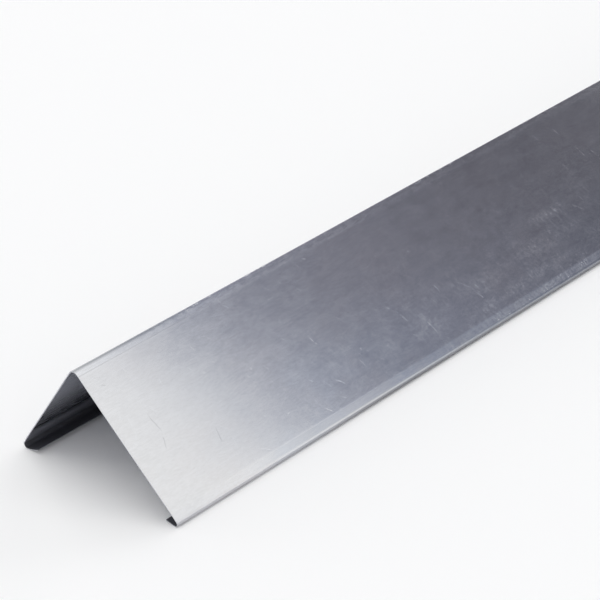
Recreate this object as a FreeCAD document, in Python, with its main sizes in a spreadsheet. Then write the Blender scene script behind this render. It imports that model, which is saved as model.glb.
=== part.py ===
import FreeCAD, Part
import math
import os

import Sketcher

# Ridge flashing: one strip of zinc sheet bent into a wide inverted V that caps the ridge of a roof.
# Each wing ends in a lip that is turned back under it, and the strip stands on the two lip bends.
# X runs along the ridge, Y towards the left wing and Z up. The origin is midway along the strip,
# midway between the wings and level with the bottom of the lip bends.

SIZES = {
    # the strip
    "strip_length": 2000.0,
    "sheet_thickness": 0.65,
    # the ridge: the angle between the wings, and the radius inside the bend
    "opening_angle": 87.5,
    "ridge_bend_radius": 5.0,
    # a wing, from where the outer faces would meet at the ridge to the outside of its lip bend
    "wing_width": 113.0,
    # the faint crease along a wing's edge: its height above the outside of the lip bend, and its turn
    "crease_height": 8.0,
    "crease_turn": 2.5,
    # a lip: the radius inside its bend, how far the bend turns, and the radius inside its gentle curl
    "lip_bend_radius": 2.0,
    "lip_turn": 136.0,
    "lip_curl_radius": 40.0,
    # the lips' widths seen from below, each from the outside of its bend to its free edge
    "left_lip_width": 15.5,
    "right_lip_width": 11.0,
}

# the two sides of the ridge, as the sign of Y
LEFT, RIGHT = 1, -1
SIDE_NAMES = {LEFT: "left", RIGHT: "right"}

# how a sketch numbers the points of a line or an arc, and its own origin and upright axis
START, END, CENTRE = 1, 2, 3
ORIGIN, UP_AXIS = -1, -2


def add_sizes(doc):
    """The sheet of driving dimensions, one named cell each."""
    sheet = doc.addObject("Spreadsheet::Sheet", "Sizes")
    for row, (name, value) in enumerate(SIZES.items(), start=1):
        sheet.set(f"A{row}", name)
        sheet.set(f"B{row}", str(value))
        sheet.setAlias(f"B{row}", name)
    doc.recompute()


def origin_plane(body, role):
    for feature in body.Origin.OriginFeatures:
        if feature.Role == role:
            return feature
    raise ValueError(f"no origin plane {role}")


def direction(angle):
    return FreeCAD.Vector(math.cos(angle), math.sin(angle), 0)


class Wing:
    """Where one wing's outer face runs, from the ridge down to the lip's free edge.

    In the sketch the first direction is Y and the second is Z. All is worked out for the left
    wing, and place() and sweep() turn points and arcs over to the right one. Angles are in
    radians, and each is the direction in which the outer face looks.
    """

    def __init__(self, side):
        self.side = side
        self.name = SIDE_NAMES[side]
        self.lip_width = SIZES[f"{self.name}_lip_width"]
        self.ridge_radius = SIZES["ridge_bend_radius"] + SIZES["sheet_thickness"]
        self.bend_radius = SIZES["lip_bend_radius"] + SIZES["sheet_thickness"]
        self.curl_radius = SIZES["lip_curl_radius"] + SIZES["sheet_thickness"]
        self.flat_angle = math.radians(SIZES["opening_angle"] / 2)
        self.band_angle = self.flat_angle - math.radians(SIZES["crease_turn"])
        self.lip_angle = self.band_angle - math.radians(SIZES["lip_turn"])
        self.set_points()

    def set_points(self):
        down_flat = direction(self.flat_angle - math.pi / 2)
        down_band = direction(self.band_angle - math.pi / 2)
        to_crease = down_flat * (SIZES["wing_width"] - SIZES["crease_height"])
        to_bend = down_band * (SIZES["crease_height"] - self.bend_radius)
        bend_top = self.bend_radius * (1 + math.sin(self.band_angle))
        ridge_drop = self.ridge_radius / math.sin(self.flat_angle)
        self.apex = FreeCAD.Vector(0, bend_top - (to_crease + to_bend).y, 0)
        self.ridge_centre = self.apex - FreeCAD.Vector(0, ridge_drop, 0)
        self.crease = self.apex + to_crease
        band_end = self.crease + to_bend
        self.bend_centre = band_end - direction(self.band_angle) * self.bend_radius
        bend_to_curl = self.curl_radius - self.bend_radius
        self.curl_centre = self.bend_centre - direction(self.lip_angle) * bend_to_curl
        tip = self.bend_centre.x - (self.lip_width - self.bend_radius)
        self.tip_angle = -math.acos((tip - self.curl_centre.x) / self.curl_radius)

    def place(self, point):
        return FreeCAD.Vector(self.side * point.x, point.y, 0)

    def sweep(self, low, high):
        """Start and end of an arc, which always runs anticlockwise."""
        return (low, high) if self.side == LEFT else (math.pi - high, math.pi - low)

    def arc_ends(self):
        """Which end of this wing's arcs is nearer the ridge, and which is nearer the lip's edge."""
        return (END, START) if self.side == LEFT else (START, END)

    def in_order(self, first, second):
        """Two ends of a measure, swapped on the right wing so that it stays positive."""
        return first + second if self.side == LEFT else second + first


def add_arc(sketch, centre, radius, angles):
    circle = Part.Circle(centre, FreeCAD.Vector(0, 0, 1), radius)
    return sketch.addGeometry(Part.ArcOfCircle(circle, *angles), False)


def add_line(sketch, start, end):
    return sketch.addGeometry(Part.LineSegment(start, end), False)


def bind(sketch, name, kind_and_geometry, value, expression):
    """Adds a named dimension that starts at a value and follows the sheet of sizes."""
    index = sketch.addConstraint(Sketcher.Constraint(*kind_and_geometry, value))
    sketch.renameConstraint(index, name)
    sketch.setExpression(f"Constraints.{name}", expression)


def add_ridge_bend(sketch, wing):
    """The two concentric arcs over the ridge, which both wings share."""
    angles = (wing.flat_angle, math.pi - wing.flat_angle)
    outer = add_arc(sketch, wing.ridge_centre, wing.ridge_radius, angles)
    inner = add_arc(sketch, wing.ridge_centre, SIZES["ridge_bend_radius"], angles)
    sketch.addConstraint(
        [
            Sketcher.Constraint("Coincident", outer, CENTRE, inner, CENTRE),
            Sketcher.Constraint("PointOnObject", outer, CENTRE, UP_AXIS),
        ]
    )
    bind(
        sketch,
        "ridge_inside",
        ("Radius", inner),
        SIZES["ridge_bend_radius"],
        "Sizes.ridge_bend_radius",
    )
    bind(
        sketch,
        "ridge_outside",
        ("Radius", outer),
        wing.ridge_radius,
        "Sizes.ridge_bend_radius + Sizes.sheet_thickness",
    )
    return outer, inner


def add_face(sketch, wing, ridge_arc, inwards):
    """One face of a wing, the outer one or the one a sheet's thickness inwards, joined to the ridge."""
    half_turn = (wing.flat_angle - wing.band_angle) / 2
    mitre = direction(wing.flat_angle - half_turn) * (inwards / math.cos(half_turn))
    from_ridge = direction(wing.flat_angle) * (wing.ridge_radius - inwards)
    crease = wing.crease - mitre
    from_bend = direction(wing.band_angle) * (wing.bend_radius - inwards)
    from_curl = direction(wing.tip_angle) * (wing.curl_radius - inwards)
    face = {
        "flat": add_line(sketch, wing.place(wing.ridge_centre + from_ridge), wing.place(crease)),
        "band": add_line(sketch, wing.place(crease), wing.place(wing.bend_centre + from_bend)),
        "bend": add_arc(
            sketch,
            wing.place(wing.bend_centre),
            wing.bend_radius - inwards,
            wing.sweep(wing.lip_angle, wing.band_angle),
        ),
        "curl": add_arc(
            sketch,
            wing.place(wing.curl_centre),
            wing.curl_radius - inwards,
            wing.sweep(wing.tip_angle, wing.lip_angle),
        ),
        "tip": wing.place(wing.curl_centre + from_curl),
    }
    near_ridge, near_edge = wing.arc_ends()
    sketch.addConstraint(
        [
            Sketcher.Constraint("Tangent", ridge_arc, near_edge, face["flat"], START),
            Sketcher.Constraint("Coincident", face["flat"], END, face["band"], START),
            Sketcher.Constraint("Tangent", face["band"], END, face["bend"], near_ridge),
            Sketcher.Constraint("Tangent", face["bend"], near_edge, face["curl"], near_ridge),
        ]
    )
    return face


def join_faces(sketch, wing, outer, inner):
    """Keeps a wing's two faces parallel and closes the section with the lip's square-cut edge."""
    edge = add_line(sketch, outer["tip"], inner["tip"])
    near_edge = wing.arc_ends()[1]
    sketch.addConstraint(
        [
            Sketcher.Constraint("Parallel", outer["flat"], inner["flat"]),
            Sketcher.Constraint("Parallel", outer["band"], inner["band"]),
            Sketcher.Constraint("Coincident", outer["bend"], CENTRE, inner["bend"], CENTRE),
            Sketcher.Constraint("Coincident", outer["curl"], CENTRE, inner["curl"], CENTRE),
            Sketcher.Constraint("Coincident", edge, START, outer["curl"], near_edge),
            Sketcher.Constraint("Coincident", edge, END, inner["curl"], near_edge),
            Sketcher.Constraint("PointOnObject", outer["curl"], CENTRE, edge),
        ]
    )


def size_wing(sketch, wing, outer, inner, apex):
    """Ties one wing's angles, radii and widths to the sheet of sizes."""
    name = wing.name
    flat, band, bend, curl = (outer[piece] for piece in ("flat", "band", "bend", "curl"))
    bind(
        sketch,
        f"{name}_half_opening",
        ("Angle", *wing.in_order((UP_AXIS, END), (flat, START))),
        wing.flat_angle,
        "Sizes.opening_angle / 2",
    )
    bind(
        sketch,
        f"{name}_crease_turn",
        ("Angle", *wing.in_order((band, START), (flat, START))),
        wing.flat_angle - wing.band_angle,
        "Sizes.crease_turn",
    )
    bind(
        sketch,
        f"{name}_lip_turn",
        ("Angle", bend),
        wing.band_angle - wing.lip_angle,
        "Sizes.lip_turn",
    )
    bind(
        sketch,
        f"{name}_bend_inside",
        ("Radius", inner["bend"]),
        SIZES["lip_bend_radius"],
        "Sizes.lip_bend_radius",
    )
    bind(
        sketch,
        f"{name}_bend_outside",
        ("Radius", bend),
        wing.bend_radius,
        "Sizes.lip_bend_radius + Sizes.sheet_thickness",
    )
    bind(
        sketch,
        f"{name}_curl_inside",
        ("Radius", inner["curl"]),
        SIZES["lip_curl_radius"],
        "Sizes.lip_curl_radius",
    )
    bind(
        sketch,
        f"{name}_flat_width",
        ("Distance", flat, END, apex, START),
        SIZES["wing_width"] - SIZES["crease_height"],
        "Sizes.wing_width - Sizes.crease_height",
    )
    bind(
        sketch,
        f"{name}_band_width",
        ("Distance", band, START, band, END),
        SIZES["crease_height"] - wing.bend_radius,
        "Sizes.crease_height - Sizes.lip_bend_radius - Sizes.sheet_thickness",
    )
    tip_to_bend = wing.in_order((curl, wing.arc_ends()[1]), (bend, CENTRE))
    bind(
        sketch,
        f"{name}_lip_reach",
        ("DistanceX", *tip_to_bend),
        wing.lip_width - wing.bend_radius,
        f"Sizes.{name}_lip_width - Sizes.lip_bend_radius - Sizes.sheet_thickness",
    )


def add_section(body):
    """The bent sheet's section, on the plane across the strip, closed and fully dimensioned."""
    sketch = body.newObject("Sketcher::SketchObject", "Section")
    sketch.AttachmentSupport = [(origin_plane(body, "YZ_Plane"), "")]
    sketch.MapMode = "FlatFace"
    left, right = Wing(LEFT), Wing(RIGHT)
    ridge_outer, ridge_inner = add_ridge_bend(sketch, left)
    # where the wings' outer faces would meet, which their widths are measured from
    apex = sketch.addGeometry(Part.Point(left.apex), True)
    sketch.addConstraint(Sketcher.Constraint("PointOnObject", apex, START, UP_AXIS))
    outer_faces = {}
    for wing in (left, right):
        outer = add_face(sketch, wing, ridge_outer, 0)
        inner = add_face(sketch, wing, ridge_inner, SIZES["sheet_thickness"])
        join_faces(sketch, wing, outer, inner)
        outer_faces[wing.side] = outer
        if wing.side == LEFT:
            sketch.addConstraint(Sketcher.Constraint("PointOnObject", apex, START, outer["flat"]))
        size_wing(sketch, wing, outer, inner, apex)
    bind(
        sketch,
        "standing_height",
        ("DistanceY", ORIGIN, START, outer_faces[LEFT]["bend"], CENTRE),
        left.bend_radius,
        "Sizes.lip_bend_radius + Sizes.sheet_thickness",
    )
    return sketch


def add_ridge_flashing(doc):
    """The bent strip: its section drawn out by half its length each way along the ridge."""
    body = doc.addObject("PartDesign::Body", "RidgeFlashing")
    body.Label = "ridge_flashing"
    sketch = add_section(body)
    doc.recompute()
    strip = body.newObject("PartDesign::Pad", "Strip")
    strip.Profile = sketch
    strip.Midplane = True
    strip.setExpression("Length", "Sizes.strip_length")
    doc.recompute()
    return body


def check(doc, parts):
    for thing in doc.Objects:
        if "Invalid" in thing.State or "Error" in thing.State:
            raise RuntimeError(f"{thing.Label} failed: {thing.State}")
    for part in parts:
        if part.Shape.isNull() or not part.Shape.isValid():
            raise RuntimeError(f"{part.Label} has no valid shape")


def describe(part):
    """Prints a part's size, and the width of the flat strip that its section is bent from."""
    box = part.Shape.BoundBox
    girth = part.Shape.Volume / SIZES["strip_length"] / SIZES["sheet_thickness"]
    print(part.Label, "solids", len(part.Shape.Solids), "faces", len(part.Shape.Faces))
    print(f"  X {box.XMin:.3f} to {box.XMax:.3f}")
    print(f"  Y {box.YMin:.3f} to {box.YMax:.3f}")
    print(f"  Z {box.ZMin:.3f} to {box.ZMax:.3f}")
    print(f"  flat strip {girth:.2f} wide, volume {part.Shape.Volume:.0f}")


document = FreeCAD.newDocument("RidgeFlashing")
add_sizes(document)
parts = [add_ridge_flashing(document)]
check(document, parts)
os.makedirs("parts", exist_ok=True)
for part in parts:
    describe(part)
    part.Shape.exportStep(f"parts/{part.Label}.step")
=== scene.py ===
import math

import bpy
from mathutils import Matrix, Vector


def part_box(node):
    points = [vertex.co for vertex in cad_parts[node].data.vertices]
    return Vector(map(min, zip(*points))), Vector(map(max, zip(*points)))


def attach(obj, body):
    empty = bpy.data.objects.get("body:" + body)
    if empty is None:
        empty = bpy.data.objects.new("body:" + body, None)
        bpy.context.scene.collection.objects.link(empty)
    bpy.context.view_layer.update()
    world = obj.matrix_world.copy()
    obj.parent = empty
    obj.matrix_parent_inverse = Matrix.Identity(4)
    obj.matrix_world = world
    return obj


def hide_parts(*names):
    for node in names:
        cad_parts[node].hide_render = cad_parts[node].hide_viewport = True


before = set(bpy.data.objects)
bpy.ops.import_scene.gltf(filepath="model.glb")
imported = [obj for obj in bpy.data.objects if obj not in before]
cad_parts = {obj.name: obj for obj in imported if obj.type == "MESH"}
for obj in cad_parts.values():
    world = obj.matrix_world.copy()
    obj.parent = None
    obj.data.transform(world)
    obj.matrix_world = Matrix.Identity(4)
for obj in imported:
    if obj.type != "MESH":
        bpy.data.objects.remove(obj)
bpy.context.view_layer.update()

# Ridge flashing: a strip of rolled zinc folded into a wide inverted V, its lower edges turned in.
# The strip is laid out flat, folded line by line as on a folding bench, and given its thickness.
# Its finish follows the flat strip, so the grain and the marks run round the bends with the sheet.

RIDGE_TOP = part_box("ridge_flashing")[1].z

# the strip, in metres, with radii on the outer face
STRIP_LENGTH = 2.0
SHEET_THICKNESS = 0.00065
WING_WIDTH = 0.113
RIDGE_RADIUS = 0.00565
LIP_BEND_RADIUS = 0.00265
LIP_CURL_RADIUS = 0.04065
CREASE_HEIGHT = 0.008
CREASE_ROUNDING = 0.0003
WING_SLOPE = math.radians(46.25)
CREASE_TURN = math.radians(2.5)
LIP_TURN = math.radians(136.0)
LEFT, RIGHT = 1, -1
LIP_WIDTHS = {LEFT: 0.0155, RIGHT: 0.011}

# places across the flat strip, as distances from the middle of the ridge bend
RIDGE_BEND_END = RIDGE_RADIUS * WING_SLOPE
FLAT_WIDTH = WING_WIDTH - CREASE_HEIGHT - RIDGE_RADIUS * math.tan(WING_SLOPE)
CREASE_PLACE = RIDGE_BEND_END + FLAT_WIDTH
LIP_BEND_START = CREASE_PLACE + CREASE_HEIGHT - LIP_BEND_RADIUS

# how finely the strip is folded and divided, and the narrow strip of flat beside each bend
RIDGE_BEND_STEPS = 8
LIP_BEND_STEPS = 14
LIP_CURL_STEPS = 6
WING_PARTS = 10
EDGE_PARTS = 2
BEND_MARGIN = 0.0008
LENGTHWISE_CUTS = 99

# the waves of thin sheet: their size and full height, the levels above the floor between which
# they lie, and how far they take to die out
WAVE_SIZE = 0.13
WAVE_HEIGHT = 0.0003
WAVE_LOWEST = 0.012
WAVE_HIGHEST = RIDGE_TOP - 0.006
WAVE_FADE = 0.025

# the cut edges: how far they are broken, and the angles that tell them from the bends
EDGE_BREAK = 0.00008
CUT_ANGLE = math.radians(60)
BEND_ANGLE = math.radians(15)


# folding


def curl_turn(lip_width):
    """How far a lip goes on turning after its bend, up to its free edge."""
    bend_end = math.pi / 2 - WING_SLOPE - CREASE_TURN - LIP_TURN
    curl_centre = -math.cos(bend_end) * (LIP_CURL_RADIUS - LIP_BEND_RADIUS)
    tip = LIP_BEND_RADIUS - lip_width
    return bend_end + math.acos((tip - curl_centre) / LIP_CURL_RADIUS)


class FoldPlan:
    """The fold lines across one half of the flat strip: their distances and their turns."""

    def __init__(self, lip_width):
        self.lines = []
        self.reach = 0.0
        self.add_bend(RIDGE_RADIUS, WING_SLOPE, RIDGE_BEND_STEPS)
        self.add_flat(FLAT_WIDTH - CREASE_ROUNDING, WING_PARTS)
        self.add_crease()
        self.add_flat(CREASE_HEIGHT - CREASE_ROUNDING - LIP_BEND_RADIUS, EDGE_PARTS)
        self.add_bend(LIP_BEND_RADIUS, LIP_TURN, LIP_BEND_STEPS)
        self.add_bend(LIP_CURL_RADIUS, curl_turn(lip_width), LIP_CURL_STEPS)

    def add_line(self, step, turn):
        self.reach += step
        if self.lines and step == 0:
            turn += self.lines.pop()[1]
        self.lines.append((self.reach, turn))

    def add_bend(self, radius, turn, steps):
        """A bend as short flats. Its first and last lines turn half as far as the others."""
        part = turn / steps
        chord = 2 * radius * math.sin(part / 2)
        self.add_line(0, part / 2)
        for _ in range(steps - 1):
            self.add_line(chord, part)
        self.add_line(chord, part / 2)

    def add_crease(self):
        """The faint crease, as three lines close together."""
        steps = (0, CREASE_ROUNDING, CREASE_ROUNDING)
        for step in steps:
            self.add_line(step, CREASE_TURN / len(steps))

    def add_flat(self, width, parts):
        """A flat with a narrow strip at each end, so that the bends beside it shade cleanly."""
        self.add_line(BEND_MARGIN, 0)
        for _ in range(parts):
            self.add_line((width - 2 * BEND_MARGIN) / parts, 0)
        self.add_line(BEND_MARGIN, 0)


PLANS = {side: FoldPlan(width) for side, width in LIP_WIDTHS.items()}
BLANK_WIDTH = PLANS[LEFT].reach + PLANS[RIGHT].reach


def select_none(kind):
    """Clears the selection and sets whether points, edges or faces are picked next."""
    bpy.ops.object.mode_set(mode="EDIT")
    bpy.ops.mesh.select_mode(type=kind)
    bpy.ops.mesh.select_all(action="DESELECT")
    bpy.ops.object.mode_set(mode="OBJECT")


def lay_out_strip():
    """The flat blank, outer face up, cut across at every line of both halves' plans."""
    bpy.ops.object.select_all(action="DESELECT")
    bpy.ops.mesh.primitive_plane_add(size=1)
    strip = bpy.context.object
    strip.name = "folded_sheet"
    strip.data.name = "folded_sheet"
    strip.data.uv_layers[0].name = "blank"
    bpy.ops.object.mode_set(mode="EDIT")
    bpy.ops.mesh.select_all(action="SELECT")
    bpy.ops.transform.resize(value=(STRIP_LENGTH, BLANK_WIDTH, 1))
    middle = (PLANS[LEFT].reach - PLANS[RIGHT].reach) / 2
    bpy.ops.transform.translate(value=(0, middle, RIDGE_TOP))
    for side, plan in PLANS.items():
        for distance, _ in plan.lines[:-1]:
            bpy.ops.mesh.select_all(action="SELECT")
            bpy.ops.mesh.bisect(plane_co=(0, side * distance, 0), plane_no=(0, 1, 0))
    bpy.ops.object.mode_set(mode="OBJECT")
    return strip


def fold(strip):
    """Turns down all that lies beyond each line, from the free edges in to the ridge."""
    hair = 1e-6
    across = [vertex.co.y for vertex in strip.data.vertices]
    for side, plan in PLANS.items():
        for distance, turn in reversed(plan.lines[:-1]):
            if turn == 0:
                continue
            select_none("VERT")
            for vertex, place in zip(strip.data.vertices, across):
                vertex.select = side * place > distance + hair
            bpy.ops.object.mode_set(mode="EDIT")
            bpy.ops.transform.rotate(
                value=side * turn,
                orient_axis="X",
                center_override=(0, side * distance, RIDGE_TOP),
            )
            bpy.ops.object.mode_set(mode="OBJECT")


def divide_lengthwise(strip):
    """Cuts the edges that run the strip's whole length, so that the flats can be waved."""
    select_none("EDGE")
    points = strip.data.vertices
    for edge in strip.data.edges:
        start, end = (points[index].co for index in edge.vertices)
        edge.select = abs(start.x - end.x) > STRIP_LENGTH / 2
    bpy.ops.object.mode_set(mode="EDIT")
    bpy.ops.mesh.subdivide(number_cuts=LENGTHWISE_CUTS)
    bpy.ops.object.mode_set(mode="OBJECT")


def add_waviness(strip):
    """The slight unevenness of thin sheet, on the flats of the wings, dying out at their edges."""
    flats = strip.vertex_groups.new(name="flats")
    for vertex in strip.data.vertices:
        height = vertex.co.z
        room = min(height - WAVE_LOWEST, WAVE_HIGHEST - height)
        share = min(max(room / WAVE_FADE, 0), 1)
        if share > 0:
            flats.add([vertex.index], share * share * (3 - 2 * share), "REPLACE")
    clouds = bpy.data.textures.new("sheet waviness", "CLOUDS")
    clouds.noise_basis = "IMPROVED_PERLIN"
    clouds.noise_scale = WAVE_SIZE
    clouds.noise_depth = 0
    wave = strip.modifiers.new("waviness", "DISPLACE")
    wave.texture = clouds
    wave.texture_coords = "LOCAL"
    wave.vertex_group = flats.name
    wave.strength = WAVE_HEIGHT
    wave.mid_level = 0.5
    bpy.ops.object.modifier_apply(modifier=wave.name)


def add_thickness(strip):
    """The sheet's wall inside the outer face, with the underside and the cut edges told apart."""
    wall = strip.modifiers.new("thickness", "SOLIDIFY")
    wall.thickness = SHEET_THICKNESS
    wall.offset = -1
    wall.use_even_offset = True
    wall.use_quality_normals = True
    wall.material_offset = 1
    wall.material_offset_rim = 2
    bpy.ops.object.modifier_apply(modifier=wall.name)


def break_cut_edges():
    """Takes the sharpness off the edges that the shears left."""
    select_none("EDGE")
    bpy.ops.object.mode_set(mode="EDIT")
    bpy.ops.mesh.edges_select_sharp(sharpness=CUT_ANGLE)
    bpy.ops.mesh.bevel(offset=EDGE_BREAK, segments=2)
    bpy.ops.object.mode_set(mode="OBJECT")


def make_folded_sheet(finishes):
    """The whole piece. Its finishes are the outer face's, the underside's and the cut edges'."""
    strip = lay_out_strip()
    for finish in finishes:
        strip.data.materials.append(finish)
    fold(strip)
    divide_lengthwise(strip)
    add_waviness(strip)
    add_thickness(strip)
    break_cut_edges()
    bpy.ops.object.shade_smooth_by_angle(angle=BEND_ANGLE)
    return strip


# laying out shader nodes


class Nodes:
    """Adds nodes to one node tree. A value given to an input is set, and an output is linked."""

    def __init__(self, tree):
        self.tree = tree

    def add(self, kind, *inputs, **settings):
        """A node, with its inputs as pairs of a socket's name or number and a value."""
        node = self.tree.nodes.new("ShaderNode" + kind)
        for name, value in settings.items():
            setattr(node, name, value)
        for socket, value in inputs:
            if isinstance(value, bpy.types.NodeSocket):
                self.tree.links.new(value, node.inputs[socket])
            else:
                node.inputs[socket].default_value = value
        return node

    def place(self, group, **values):
        """A node group placed with its own values, as its one output."""
        return self.add("Group", *values.items(), node_tree=group).outputs[0]

    def math(self, operation, *values):
        return self.add("Math", *enumerate(values), operation=operation).outputs[0]

    def chain(self, operation, values):
        """A two-way operation over any number of values, from the first to the last."""
        total = values[0]
        for value in values[1:]:
            total = self.math(operation, total, value)
        return total

    def sum(self, *values):
        return self.chain("ADD", values)

    def product(self, *values):
        return self.chain("MULTIPLY", values)

    def highest(self, *values):
        return self.chain("MAXIMUM", values)

    def vector_math(self, operation, *values):
        return self.add("VectorMath", *enumerate(values), operation=operation).outputs[0]

    def vector(self, x, y):
        return self.add("CombineXYZ", (0, x), (1, y)).outputs[0]

    def parts(self, vector):
        return self.add("SeparateXYZ", (0, vector)).outputs

    def turned(self, vector, angle):
        """The two parts of a flat vector, along and across a line at an angle."""
        back = self.product(angle, -1.0)
        node = self.add(
            "VectorRotate", ("Vector", vector), ("Angle", back), rotation_type="Z_AXIS"
        )
        along, across, _ = self.parts(node.outputs[0])
        return along, across

    def drawn(self, vector, along, across):
        """A flat vector with each part times its own factor, to draw out a pattern laid on it."""
        parts = self.parts(vector)
        return self.vector(self.product(parts[0], along), self.product(parts[1], across))

    def noise(self, vector, scale, detail=2.0, roughness=0.5):
        """Noise from 0 to 1 over a flat vector."""
        node = self.add(
            "TexNoise",
            ("Vector", vector),
            ("Scale", scale),
            ("Detail", detail),
            ("Roughness", roughness),
            noise_dimensions="2D",
        )
        return node.outputs["Fac"]

    def ramp(self, value, start, end, low=0.0, high=1.0):
        """Low up to start, high from end, and a soft step between."""
        node = self.add(
            "MapRange",
            ("Value", value),
            ("From Min", start),
            ("From Max", end),
            ("To Min", low),
            ("To Max", high),
            interpolation_type="SMOOTHSTEP",
        )
        return node.outputs["Result"]

    def near(self, value, place, reach):
        """1 where a value is at a place, fading to 0 at a reach from it."""
        off = self.math("ABSOLUTE", self.math("SUBTRACT", value, place))
        return self.ramp(off, reach, 0.0)

    def blend(self, share, first, second):
        """A mix of two colours by a share. A colour is an output, or red, green and blue."""
        ends = [
            color if isinstance(color, bpy.types.NodeSocket) else (*color, 1)
            for color in (first, second)
        ]
        node = self.add("Mix", ("Factor", share), *zip("AB", ends), data_type="RGBA")
        return node.outputs["Result"]


# the effects that the finishes share


def start_group(name, vectors, floats=()):
    """A node group with its inputs: its nodes, and what it is given."""
    tree = bpy.data.node_groups.new(name, "ShaderNodeTree")
    for labels, kind in ((vectors, "NodeSocketVector"), (floats, "NodeSocketFloat")):
        for label in labels:
            tree.interface.new_socket(name=label, in_out="INPUT", socket_type=kind)
    return Nodes(tree), tree.nodes.new("NodeGroupInput").outputs


def finish_group(nodes, label, value):
    """Gives a node group its one output."""
    tree = nodes.tree
    tree.interface.new_socket(name=label, in_out="OUTPUT", socket_type="NodeSocketFloat")
    tree.links.new(value, tree.nodes.new("NodeGroupOutput").inputs[label])
    return tree


def make_stroke_group():
    """One straight stroke, tapering to its ends, from the offset to its middle."""
    nodes, given = start_group("Stroke", ["Offset"], ["Angle", "Length", "Width"])
    along, across = nodes.turned(given["Offset"], given["Angle"])
    way_out = nodes.math("DIVIDE", nodes.math("ABSOLUTE", along), given["Length"])
    off = nodes.math("DIVIDE", nodes.math("ABSOLUTE", across), given["Width"])
    mask = nodes.product(nodes.ramp(way_out, 0.5, 0.15), nodes.ramp(off, 0.5, 0.1))
    return finish_group(nodes, "Mask", mask)


def make_scratches_group(stroke):
    """Strokes scattered over the strip, at most one in each cell, all roughly one way."""
    nodes, given = start_group(
        "Scattered scratches", ["Strip"], ["Cells", "Angle", "Spread", "Length", "Width", "Share"]
    )
    cells = nodes.add(
        "TexVoronoi",
        ("Vector", given["Strip"]),
        ("Scale", given["Cells"]),
        ("Randomness", 1.0),
        voronoi_dimensions="2D",
    )
    turn_chance, size_chance, share_chance = nodes.parts(cells.outputs["Color"])
    swing = nodes.product(nodes.math("SUBTRACT", turn_chance, 0.5), given["Spread"])
    size = nodes.sum(nodes.product(size_chance, 0.8), 0.2)
    mark = nodes.place(
        stroke,
        Offset=nodes.vector_math("SUBTRACT", given["Strip"], cells.outputs["Position"]),
        Angle=nodes.sum(given["Angle"], swing),
        Length=nodes.product(given["Length"], size),
        Width=given["Width"],
    )
    wanted = nodes.math("LESS_THAN", share_chance, given["Share"])
    strength = nodes.sum(nodes.product(size, 0.6), 0.4)
    return finish_group(nodes, "Mask", nodes.product(mark, wanted, strength))


def make_grain_group():
    """The rolling grain: short fine streaks along the strip over longer, fainter ones."""
    nodes, given = start_group("Rolling grain", ["Strip"], ["Streaks", "Run"])
    along, across, _ = nodes.parts(given["Strip"])
    run = nodes.math("DIVIDE", along, given["Run"])
    fine = nodes.vector(run, nodes.product(across, given["Streaks"]))
    broad = nodes.vector(nodes.product(run, 0.2), nodes.product(across, given["Streaks"], 0.3))
    grain = nodes.sum(
        nodes.product(nodes.noise(fine, 1.0, 3.0, 0.65), 0.7),
        nodes.product(nodes.noise(broad, 1.0), 0.3),
    )
    return finish_group(nodes, "Grain", grain)


def make_haze_group():
    """Hazy places where the sheet was wiped: fine lines one way, in soft clouds."""
    nodes, given = start_group("Rubbed haze", ["Strip"], ["Angle", "Lines", "Clouds", "Cover"])
    along, across = nodes.turned(given["Strip"], given["Angle"])
    lines = nodes.vector(
        nodes.product(along, given["Lines"], 0.2), nodes.product(across, given["Lines"])
    )
    fine = nodes.ramp(nodes.noise(lines, 1.0, 3.0, 0.65), 0.4, 0.72)
    cloud = nodes.noise(given["Strip"], given["Clouds"], 4.0, 0.65)
    edge = nodes.math("SUBTRACT", 0.75, nodes.product(given["Cover"], 0.4))
    place = nodes.ramp(cloud, edge, nodes.sum(edge, 0.16))
    return finish_group(nodes, "Mask", nodes.product(fine, place))


def make_patch_group():
    """A scuffed patch with a ragged edge, made of fine specks, some drawn out across the strip."""
    nodes, given = start_group("Scuffed patch", ["Strip", "Middle", "Size"])
    strip = given["Strip"]
    offset = nodes.vector_math("SUBTRACT", strip, given["Middle"])
    scaled = nodes.vector_math("DIVIDE", offset, given["Size"])
    far = nodes.add("VectorMath", (0, scaled), operation="LENGTH").outputs["Value"]
    ragged = nodes.noise(strip, 150.0, 4.0, 0.7)
    reach = nodes.sum(far, nodes.product(ragged, 1.1))
    specks = nodes.sum(
        nodes.product(nodes.noise(nodes.drawn(strip, 680.0, 260.0), 1.0, 4.0, 0.75), 0.55),
        nodes.product(nodes.noise(strip, 330.0, 3.0, 0.7), 0.45),
    )
    mask = nodes.product(nodes.ramp(reach, 1.6, 0.4), nodes.ramp(specks, 0.36, 0.68))
    return finish_group(nodes, "Mask", mask)


# the zinc

# its colours as red, green and blue, in pairs where a mottling or grain runs between two
WARM_ZINC = (0.500, 0.502, 0.528), (0.595, 0.595, 0.617)
# the cool pair is a painted reflection tint, laid low on the wings and away from the ends
COOL_ZINC = (0.480, 0.500, 0.545), (0.575, 0.593, 0.636)
CLOUDED_ZINC = (0.560, 0.548, 0.565)
# painted reflection: the band's lilac tone
BAND_REFLECTION_ZINC = (0.46, 0.50, 0.62)
STREAK_ZINC = (0.70, 0.71, 0.74)
SCRATCHED_ZINC = (0.82, 0.83, 0.86)
# rubbed marks, and the painted reflection on the band below the crease
RUBBED_AND_SHEEN_ZINC = (0.78, 0.79, 0.82)
RIDGE_ZINC = (0.74, 0.75, 0.78)
# dull hairlines, and painted shade at the bends, on the ridge top at the ends, on the lip and on
# the band
DULL_AND_SHADE_ZINC = (0.15, 0.16, 0.18)
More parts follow.
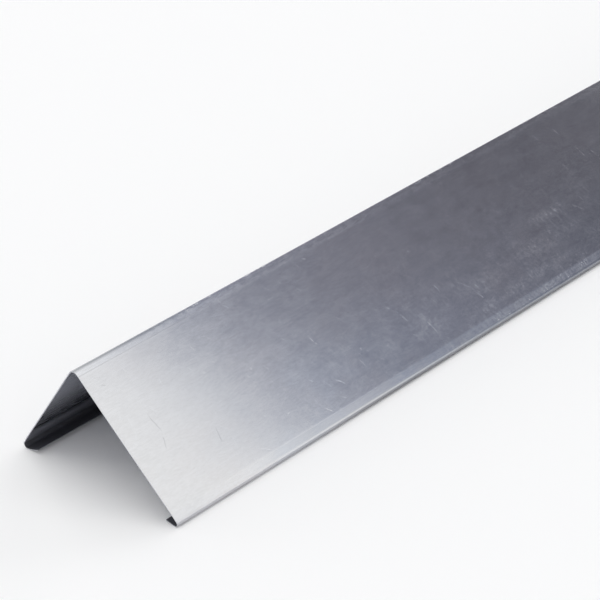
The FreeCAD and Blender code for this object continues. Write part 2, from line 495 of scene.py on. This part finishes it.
# painted shade on the lip's bend
LIP_SHADE_ZINC = (0.20, 0.205, 0.225)
UNDERSIDE_ZINC = (0.60, 0.62, 0.70), (0.68, 0.70, 0.77)
UNDERSIDE_STREAK = (0.74, 0.75, 0.78)
UNDERSIDE_SCRATCH = (0.75, 0.76, 0.79)
# painted shade low on the underside and in the folds of its lips
UNDERSIDE_LOW_SHADE = (0.2, 0.2, 0.24)
UNDERSIDE_LIP_SHADE = (0.12, 0.12, 0.135)
SHEARED_ZINC = (0.42, 0.43, 0.46), (0.62, 0.63, 0.66)

# how strongly the rolling grain draws out reflections, and the turn that lays it along the strip
GRAIN_STRENGTH = 0.3
GRAIN_TURN = 0.25

# the bumps of scratches and scuffs
BUMP_STRENGTH = 0.2
BUMP_HEIGHT = 0.00003

# how rough each face is before its marks are added
ROLLED_ROUGHNESS = 0.105
UNDERSIDE_ROUGHNESS = 0.22
SHEARED_ROUGHNESS = 0.28

# the shaking of the strokes: how fine it is, and how far it goes from side to side
SHAKE_FINENESS = 130.0
SHAKE_REACH = 0.0022

# how fine the breaks in the scratches and the lines on the cut edges are
BREAK_FINENESS = 420.0
SHEARED_FINENESS = 1500.0

# scattered marks: cells to the metre, angle and its spread, longest mark, width, share of cells
SHORT_SCRATCHES = {
    "Cells": 95.0,
    "Angle": math.radians(-70),
    "Spread": 1.0,
    "Length": 0.009,
    "Width": 0.0006,
    "Share": 0.4,
}
LONG_SCRATCHES = {
    "Cells": 30.0,
    "Angle": math.radians(-68),
    "Spread": 0.8,
    "Length": 0.022,
    "Width": 0.0006,
    "Share": 0.3,
}
SPECKS = {
    "Cells": 80.0,
    "Angle": 0.0,
    "Spread": 6.0,
    "Length": 0.0028,
    "Width": 0.0014,
    "Share": 0.16,
}
UNDERSIDE_SCRATCHES = {
    "Cells": 35.0,
    "Angle": math.radians(48),
    "Spread": 1.4,
    "Length": 0.018,
    "Width": 0.0006,
    "Share": 0.3,
}
# scratches that are seen one by one: how far along and across the strip, length, and degrees
SINGLE_SCRATCHES = (
    (-0.848, -0.058, 0.0080, 71),
    (-0.786, -0.065, 0.0085, 57),
    (-0.781, -0.073, 0.0125, 68),
    (-0.745, -0.069, 0.0080, 88),
    (-0.725, -0.076, 0.0115, 50),
    (-0.766, -0.090, 0.0130, 76),
    (-0.719, -0.088, 0.0110, 69),
    (-0.580, -0.017, 0.0100, 77),
    (-0.592, -0.042, 0.0115, 72),
    (-0.562, -0.044, 0.0115, 68),
    (-0.598, -0.014, 0.0080, 71),
    (-0.572, -0.038, 0.0170, 73),
    (-0.605, -0.070, 0.0150, 53),
    (-0.849, -0.089, 0.0090, 53),
    (-0.922, -0.100, 0.0110, 35),
    (-0.868, -0.100, 0.0080, 50),
    (-0.877, -0.002, 0.0070, 16),
    (-0.818, -0.009, 0.0040, 34),
    (-0.687, -0.1075, 0.0025, 60),
)
SINGLE_SCRATCH_WIDTH = 0.0009
# dull hairlines and a dot near the cut end, in the same four columns
HAIRLINES = (
    (-0.9748, -0.0520, 0.015, 82),
    (-0.9766, -0.0650, 0.011, 107),
    (-0.9430, -0.0780, 0.014, 104),
    (-0.9888, -0.0168, 0.004, 30),
)
HAIRLINE_WIDTH = 0.0011
# scuffed patches: how far along and across the strip, and their half lengths and half widths
SCUFFED_PATCHES = (
    (-0.634, -0.0635, 0.046, 0.006),
    (-0.680, -0.0955, 0.095, 0.006),
    (-0.655, -0.080, 0.045, 0.011),
    (-0.712, -0.080, 0.026, 0.014),
    (-0.768, -0.088, 0.022, 0.010),
)


def start_material(name, **values):
    """A material with its nodes and its shader, and plain values set on the shader."""
    material = bpy.data.materials.new(name)
    material.use_nodes = True
    shader = material.node_tree.nodes["Principled BSDF"]
    for label, value in values.items():
        shader.inputs[label.replace("_", " ")].default_value = value
    return material, Nodes(material.node_tree), shader


def connect(nodes, shader, **values):
    for label, value in values.items():
        nodes.tree.links.new(value, shader.inputs[label.replace("_", " ")])


def start_rolled_zinc(name):
    """A rolled face, laid out on the flat strip: metres along it and across from the ridge."""
    material, nodes, shader = start_material(
        name, Metallic=1, Anisotropic=GRAIN_STRENGTH, Anisotropic_Rotation=GRAIN_TURN
    )
    run = nodes.add("Tangent", direction_type="UV_MAP", uv_map="blank")
    connect(nodes, shader, Tangent=run.outputs[0])
    blank = nodes.add("UVMap", uv_map="blank")
    strip = nodes.add(
        "Mapping",
        ("Vector", blank.outputs[0]),
        ("Location", (-STRIP_LENGTH / 2, -PLANS[RIGHT].reach, 0)),
        ("Scale", (STRIP_LENGTH, BLANK_WIDTH, 1)),
    ).outputs[0]
    return material, nodes, shader, strip


def add_bump(nodes, height):
    """The bump of a face's marks, as the direction it faces."""
    bump = nodes.add(
        "Bump", ("Strength", BUMP_STRENGTH), ("Distance", BUMP_HEIGHT), ("Height", height)
    )
    return bump.outputs["Normal"]


def unsteady(nodes, strip):
    """The strip's coordinates shaken a little, so that strokes aren't ruler straight."""
    shake = nodes.add(
        "TexNoise",
        ("Vector", strip),
        ("Scale", SHAKE_FINENESS),
        ("Detail", 2.0),
        noise_dimensions="2D",
    ).outputs["Color"]
    centred = nodes.vector_math("SUBTRACT", shake, (0.5, 0.5, 0.5))
    small = nodes.add(
        "VectorMath", (0, centred), ("Scale", SHAKE_REACH), operation="SCALE"
    ).outputs[0]
    return nodes.vector_math("ADD", strip, small)


def single_strokes(nodes, stroke, strip, marks, width):
    """Strokes at given places, as one mask."""
    masks = [
        nodes.place(
            stroke,
            Offset=nodes.vector_math("SUBTRACT", strip, (along, across, 0)),
            Angle=-math.radians(degrees),
            Length=length,
            Width=width,
        )
        for along, across, length, degrees in marks
    ]
    return nodes.highest(*masks)


def scratched_places(nodes, stroke, scratches, strip, shaken):
    """The bright scratches, broken here and there along their length, and the specks."""
    scratch = nodes.highest(
        nodes.product(nodes.place(scratches, Strip=shaken, **SHORT_SCRATCHES), 0.6),
        nodes.product(nodes.place(scratches, Strip=shaken, **LONG_SCRATCHES), 0.35),
        nodes.product(
            single_strokes(nodes, stroke, shaken, SINGLE_SCRATCHES, SINGLE_SCRATCH_WIDTH), 0.85
        ),
    )
    breaks = nodes.ramp(nodes.noise(shaken, BREAK_FINENESS, 2.0, 0.6), 0.3, 0.55)
    specks = nodes.place(scratches, Strip=strip, **SPECKS)
    return nodes.highest(nodes.product(scratch, breaks), nodes.product(specks, 0.55))


def scuffed_places(nodes, patch, strip):
    """All the scuffed patches, as one mask."""
    masks = [
        nodes.place(patch, Strip=strip, Middle=(along, across, 0), Size=(length, width, 1))
        for along, across, length, width in SCUFFED_PATCHES
    ]
    return nodes.highest(*masks)


def wiped_places(nodes, haze, strip, shaken):
    """Haze where the wings were wiped, stronger low down and away from the near end."""
    along, across, _ = nodes.parts(strip)
    haziness = nodes.place(
        haze, Strip=shaken, Angle=math.radians(-74), Lines=700.0, Clouds=48.0, Cover=0.8
    )
    low_down = nodes.ramp(nodes.math("ABSOLUTE", across), 0.025, 0.085, 0.25, 1.0)
    return nodes.product(haziness, low_down, nodes.ramp(along, -0.84, -0.74, 0.55, 1.0))


def rubbed_ridge(nodes, strip, flecks):
    """Bright flecks just beside the ridge's middle, in stretches, where it was rubbed."""
    across = nodes.parts(strip)[1]
    stretches = nodes.ramp(nodes.noise(strip, 18.0), 0.42, 0.6)
    return nodes.product(
        nodes.near(across, 0.0008, 0.0036), nodes.ramp(flecks, 0.48, 0.66), stretches
    )


def painted_band_sheen(nodes, strip, band):
    """Painted reflection on the band below the crease: lighter in mottled patches, less so at the
    near end.
    """
    rubs = nodes.noise(nodes.drawn(strip, 430.0, 210.0), 1.0, 4.0, 0.7)
    along = nodes.parts(strip)[0]
    return nodes.product(
        band, nodes.ramp(rubs, 0.2, 0.75, 0.35, 1.0), nodes.ramp(along, -0.84, -0.66, 0.15, 1.0)
    )


def make_outer_zinc(stroke, scratches, grain, haze, patch):
    """The face that sees the weather: rolled zinc with the marks of folding and handling."""
    material, nodes, shader, strip = start_rolled_zinc("rolled zinc")
    along, across, _ = nodes.parts(strip)
    from_ridge = nodes.math("ABSOLUTE", across)
    from_middle = nodes.math("ABSOLUTE", along)
    shaken = unsteady(nodes, strip)

    # patterns all over the face
    streaks = nodes.place(grain, Strip=strip, Streaks=850.0, Run=0.0045)
    mottle = nodes.noise(nodes.drawn(strip, 58.0, 92.0), 1.0, 4.0, 0.62)
    flecks = nodes.noise(nodes.drawn(strip, 160.0, 520.0), 1.0, 4.0, 0.75)
    clouds = nodes.noise(strip, 16.0, 3.0, 0.6)

    # the band between the crease and the lip's bend
    band = nodes.product(
        nodes.ramp(from_ridge, CREASE_PLACE - 0.0004, CREASE_PLACE + 0.0008),
        nodes.ramp(from_ridge, LIP_BEND_START + 0.0004, LIP_BEND_START - 0.0006),
    )

    # bright marks, and a painted reflection on the band
    scratch = scratched_places(nodes, stroke, scratches, strip, shaken)
    scuffed = scuffed_places(nodes, patch, strip)
    rubs_and_band_sheen = nodes.sum(
        nodes.product(scuffed, 0.62),
        nodes.product(wiped_places(nodes, haze, strip, shaken), 0.32),
        nodes.product(rubbed_ridge(nodes, strip, flecks), 1.2),
        painted_band_sheen(nodes, strip, band),
    )
    burnished_ridge = nodes.product(
        nodes.ramp(from_ridge, RIDGE_BEND_END + 0.003, RIDGE_BEND_END - 0.0015),
        nodes.ramp(from_middle, 0.55, 0.8, 0.55, 1.0),
        nodes.ramp(flecks, 0.35, 0.62, 0.35, 1.0),
    )

    # dull marks and painted shade: dull hairlines; painted shade in a line beside the ridge bend,
    # on the ridge top at the ends, in a line where the lip's bend starts, on the lip itself away
    # from the ends, and on the band
    hairlines = single_strokes(nodes, stroke, shaken, HAIRLINES, HAIRLINE_WIDTH)
    # painted shade: a dark line beside the ridge bend near the ends
    ridge_line_shade = nodes.product(
        nodes.near(from_ridge, RIDGE_BEND_END + 0.0007, 0.0006),
        nodes.ramp(from_middle, 0.88, 0.94),
    )
    # painted shade: the ridge top darker near the ends
    ridge_ends_shade = nodes.product(
        nodes.near(across, 0.0006, 0.0036), nodes.ramp(from_middle, 0.88, 0.96)
    )
    away_from_ends = nodes.ramp(from_middle, 0.8, 0.94, 1.0, 0.1)
    # painted shade: a dark line where the lip's bend starts, away from the ends
    lip_line_shade = nodes.product(
        nodes.near(from_ridge, LIP_BEND_START + 0.0001, 0.0009), away_from_ends
    )
    # painted shade: the lip's bend darkened away from the ends, toning down its reflection
    lip = nodes.product(
        nodes.ramp(from_ridge, LIP_BEND_START - 0.0001, LIP_BEND_START + 0.002), away_from_ends
    )
    dull_and_shade = nodes.sum(
        nodes.product(hairlines, 0.2),
        nodes.product(ridge_line_shade, 0.2),
        nodes.product(ridge_ends_shade, 0.75),
        nodes.product(lip_line_shade, 0.35),
        # painted shade on the band, away from the ends
        nodes.product(band, nodes.ramp(from_middle, 0.88, 0.95, 0.3, 0.02)),
    )

    # the colour, from the mottled sheet with its painted cool reflection tint, up through its
    # marks, painted shade and painted reflections
    # painted reflection tint: cooler low on the wings and away from the ends
    painted_cool_tint = nodes.product(
        nodes.ramp(from_ridge, 0.03, 0.1), nodes.ramp(from_middle, 0.96, 0.88, 0.0, 1.0)
    )
    color = nodes.blend(
        painted_cool_tint, nodes.blend(mottle, *WARM_ZINC), nodes.blend(mottle, *COOL_ZINC)
    )
    # painted reflection: a lilac tone on the band, strongest away from the ends
    band_reflection_tint = nodes.product(band, nodes.ramp(from_middle, 0.98, 0.84, 0.0, 0.6))
    for share, layer in (
        (band_reflection_tint, BAND_REFLECTION_ZINC),
        (nodes.ramp(clouds, 0.42, 0.68, 0.0, 0.4), CLOUDED_ZINC),
        (nodes.ramp(streaks, 0.3, 0.7, 0.0, 0.27), STREAK_ZINC),
        (nodes.product(scratch, 0.6), SCRATCHED_ZINC),
        (nodes.product(rubs_and_band_sheen, 0.45), RUBBED_AND_SHEEN_ZINC),
        (nodes.product(burnished_ridge, 0.6), RIDGE_ZINC),
        (dull_and_shade, DULL_AND_SHADE_ZINC),
        (nodes.product(lip, 0.78), LIP_SHADE_ZINC),
    ):
        color = nodes.blend(share, color, layer)

    roughness = nodes.sum(
        ROLLED_ROUGHNESS,
        nodes.product(streaks, 0.035),
        nodes.product(mottle, 0.035),
        nodes.product(scratch, 0.08),
        nodes.product(rubs_and_band_sheen, 0.12),
        nodes.product(lip, 0.12),
        nodes.product(burnished_ridge, 0.04),
    )
    height = nodes.sum(nodes.product(scratch, -0.6), nodes.product(scuffed, 0.15))
    connect(
        nodes, shader, Base_Color=color, Roughness=roughness, Normal=add_bump(nodes, height)
    )
    return material


def make_underside_zinc(scratches, grain):
    """The face towards the roof: duller, with painted shade low down and in the folds of the lips.
    """
    material, nodes, shader, strip = start_rolled_zinc("zinc underside")
    from_ridge = nodes.math("ABSOLUTE", nodes.parts(strip)[1])
    streaks = nodes.place(grain, Strip=strip, Streaks=900.0, Run=0.02)
    clouds = nodes.noise(strip, 11.0, 3.0, 0.6)
    scratch = nodes.place(scratches, Strip=unsteady(nodes, strip), **UNDERSIDE_SCRATCHES)
    # painted shade in the folds of the lips
    lip = nodes.ramp(from_ridge, LIP_BEND_START - 0.002, LIP_BEND_START + 0.004)
    color = nodes.blend(clouds, *UNDERSIDE_ZINC)
    for share, layer in (
        (nodes.ramp(streaks, 0.25, 0.75, 0.0, 0.2), UNDERSIDE_STREAK),
        (nodes.product(scratch, 0.2), UNDERSIDE_SCRATCH),
        # painted shade low down
        (nodes.ramp(from_ridge, 0.03, 0.065, 0.0, 0.42), UNDERSIDE_LOW_SHADE),
        (nodes.product(lip, 0.84), UNDERSIDE_LIP_SHADE),
    ):
        color = nodes.blend(share, color, layer)
    roughness = nodes.sum(
        UNDERSIDE_ROUGHNESS,
        nodes.product(streaks, 0.05),
        nodes.product(clouds, 0.06),
        nodes.product(scratch, 0.1),
        nodes.ramp(from_ridge, 0.088, 0.1, 0.0, 0.32),
    )
    bump = add_bump(nodes, nodes.product(scratch, -0.5))
    connect(nodes, shader, Base_Color=color, Roughness=roughness, Normal=bump)
    return material


def make_cut_zinc():
    """The sheared edges: bare metal with fine lines through the thickness."""
    material, nodes, shader = start_material("sheared zinc", Metallic=1)
    lines = nodes.add(
        "TexNoise",
        ("Vector", nodes.add("TexCoord").outputs["Object"]),
        ("Scale", SHEARED_FINENESS),
        ("Detail", 3.0),
    ).outputs["Fac"]
    roughness = nodes.sum(SHEARED_ROUGHNESS, nodes.product(lines, 0.2))
    connect(nodes, shader, Base_Color=nodes.blend(lines, *SHEARED_ZINC), Roughness=roughness)
    return material


# the studio

FLOOR_SIZE = 120
FLOOR_LEVEL = -0.0001
FLOOR_COLOR = (0.96, 0.96, 0.96, 1)

# its light from overhead to past the strip's two ends: a soft white panel that ends at 0.71, its
# cool edge, the dim room, the room's darkest side, and the pale floor's glow at the horizon
STUDIO_TONES = (
    (0.60, (0.85, 0.85, 0.85)),
    (0.68, (1.00, 1.00, 0.95)),
    (0.71, (1.00, 1.00, 0.98)),
    (0.74, (0.24, 0.28, 0.38)),
    (0.76, (0.19, 0.20, 0.25)),
    (0.80, (0.20, 0.20, 0.24)),
    (0.87, (0.11, 0.11, 0.13)),
    (0.96, (0.13, 0.13, 0.15)),
    (1.00, (0.85, 0.85, 0.85)),
)
STUDIO_STRENGTH = 1.46
# how much further out the panel's edge lies low down, the steepnesses between which that changes,
# and the least share of a direction that counts as towards the camera's side
PANEL_SLANT = 0.17
SHALLOWEST, STEEPEST = 0.75, 1.42
LEAST_TOWARDS = 0.02

CAMERA_PLACE = (-1.575382, -0.939089, 0.683774)
CAMERA_TURNS = (61.79728, 8.00507, -43.05247)
CAMERA_LENS = 126.2135
CAMERA_SENSOR = 36


def make_floor():
    """A wide pale floor, a hair below what the strip stands on."""
    bpy.ops.object.select_all(action="DESELECT")
    bpy.ops.mesh.primitive_plane_add(size=FLOOR_SIZE, location=(0, 0, FLOOR_LEVEL))
    floor = bpy.context.object
    floor.name = "floor"
    material, _, _ = start_material(
        "pale floor", Base_Color=FLOOR_COLOR, Roughness=1, Specular_IOR_Level=0
    )
    floor.data.materials.append(material)


def make_world():
    """Soft light from both sides and overhead, dimmer past the strip's two ends."""
    world = bpy.data.worlds.new("studio")
    bpy.context.scene.world = world
    world.use_nodes = True
    nodes = Nodes(world.node_tree)
    along, across, up = nodes.parts(nodes.add("TexCoord").outputs["Generated"])
    towards = nodes.highest(nodes.product(across, -1.0), LEAST_TOWARDS)
    steepness = nodes.math("MINIMUM", nodes.math("DIVIDE", up, towards), STEEPEST)
    steepness = nodes.highest(steepness, SHALLOWEST)
    end_on = nodes.sum(nodes.math("ABSOLUTE", along), nodes.product(steepness, PANEL_SLANT))
    tones = nodes.add("ValToRGB", ("Fac", end_on))
    steps = tones.color_ramp.elements
    for place, _ in STUDIO_TONES[1:-1]:
        steps.new(place)
    for step, (place, color) in zip(steps, STUDIO_TONES):
        step.position = place
        step.color = (*color, 1)
    background = world.node_tree.nodes["Background"]
    background.inputs["Strength"].default_value = STUDIO_STRENGTH
    nodes.tree.links.new(tones.outputs["Color"], background.inputs["Color"])


def make_camera():
    """The photograph's view of the near end."""
    data = bpy.data.cameras.new("camera")
    data.sensor_width = CAMERA_SENSOR
    data.lens = CAMERA_LENS
    camera = bpy.data.objects.new("camera", data)
    bpy.context.scene.collection.objects.link(camera)
    camera.location = CAMERA_PLACE
    camera.rotation_euler = [math.radians(turn) for turn in CAMERA_TURNS]
    bpy.context.scene.camera = camera


stroke_group = make_stroke_group()
scratches_group = make_scratches_group(stroke_group)
grain_group = make_grain_group()
haze_group = make_haze_group()
patch_group = make_patch_group()
folded_sheet = make_folded_sheet(
    [
        make_outer_zinc(stroke_group, scratches_group, grain_group, haze_group, patch_group),
        make_underside_zinc(scratches_group, grain_group),
        make_cut_zinc(),
    ]
)
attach(folded_sheet, "root")
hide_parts("ridge_flashing")
make_floor()
make_world()
make_camera()
bpy.context.scene.view_settings.view_transform = "Standard"
